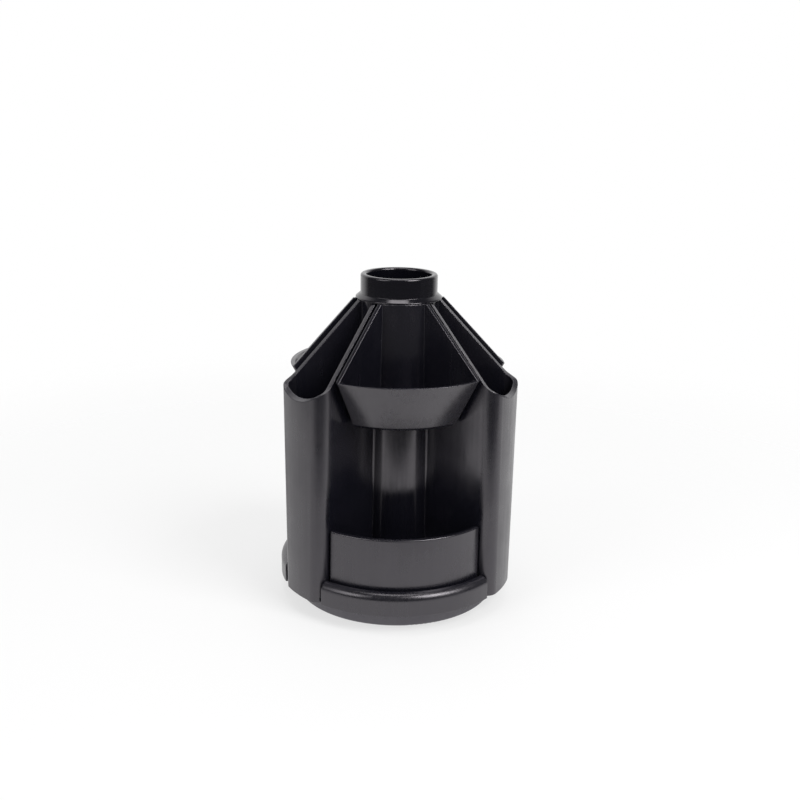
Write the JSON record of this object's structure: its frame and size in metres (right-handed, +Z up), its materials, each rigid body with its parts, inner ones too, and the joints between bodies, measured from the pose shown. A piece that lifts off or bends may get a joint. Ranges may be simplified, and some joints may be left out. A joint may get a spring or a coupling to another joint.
{
  "type": "rotating desk organizer",
  "caption": "Round desk organizer that turns on a low foot: a pen cup on the axis, deep pockets, sloping upper trays and low bins around it.",
  "frame": {"origin": "on the turning axis, at the height of the surface that the pads stand on", "axes": "+Z up along the turning axis, -Y towards the front compartment, +X to its right"},
  "size_m": [0.0908, 0.0914, 0.1262],
  "materials": {
    "drum_plastic": "satin moulded",
    "insert_plastic": "satin moulded",
    "cup_plastic": "polished moulded",
    "foot_plastic": "fine matt",
    "ring_plastic": "natural",
    "pad_rubber": "matt",
    "plated_steel": "zinc plated"
  },
  "bodies": {
    "foot": {"foot_disc": "foot_plastic", "foot_pad_1": "pad_rubber", "foot_pad_2": "pad_rubber", "foot_pad_3": "pad_rubber", "foot_pad_4": "pad_rubber", "slip_ring": "ring_plastic"},
    "carousel": {"base_plate": "drum_plastic", "drum": "drum_plastic", "lower_bin_1": "insert_plastic", "lower_bin_2": "insert_plastic", "lower_bin_3": "insert_plastic", "upper_tray_1": "insert_plastic", "upper_tray_2": "insert_plastic", "upper_tray_3": "insert_plastic", "pen_cup": "cup_plastic", "pivot_washer": "plated_steel", "pivot_screw": "plated_steel", "plate_screws": "plated_steel"}
  },
  "joints": [
    {"name": "carousel_spin", "type": "hinge", "parent": "foot", "child": "carousel", "pos_m": [0, 0, 0], "axis": [0, 0, 1], "continuous": true}
  ]
}
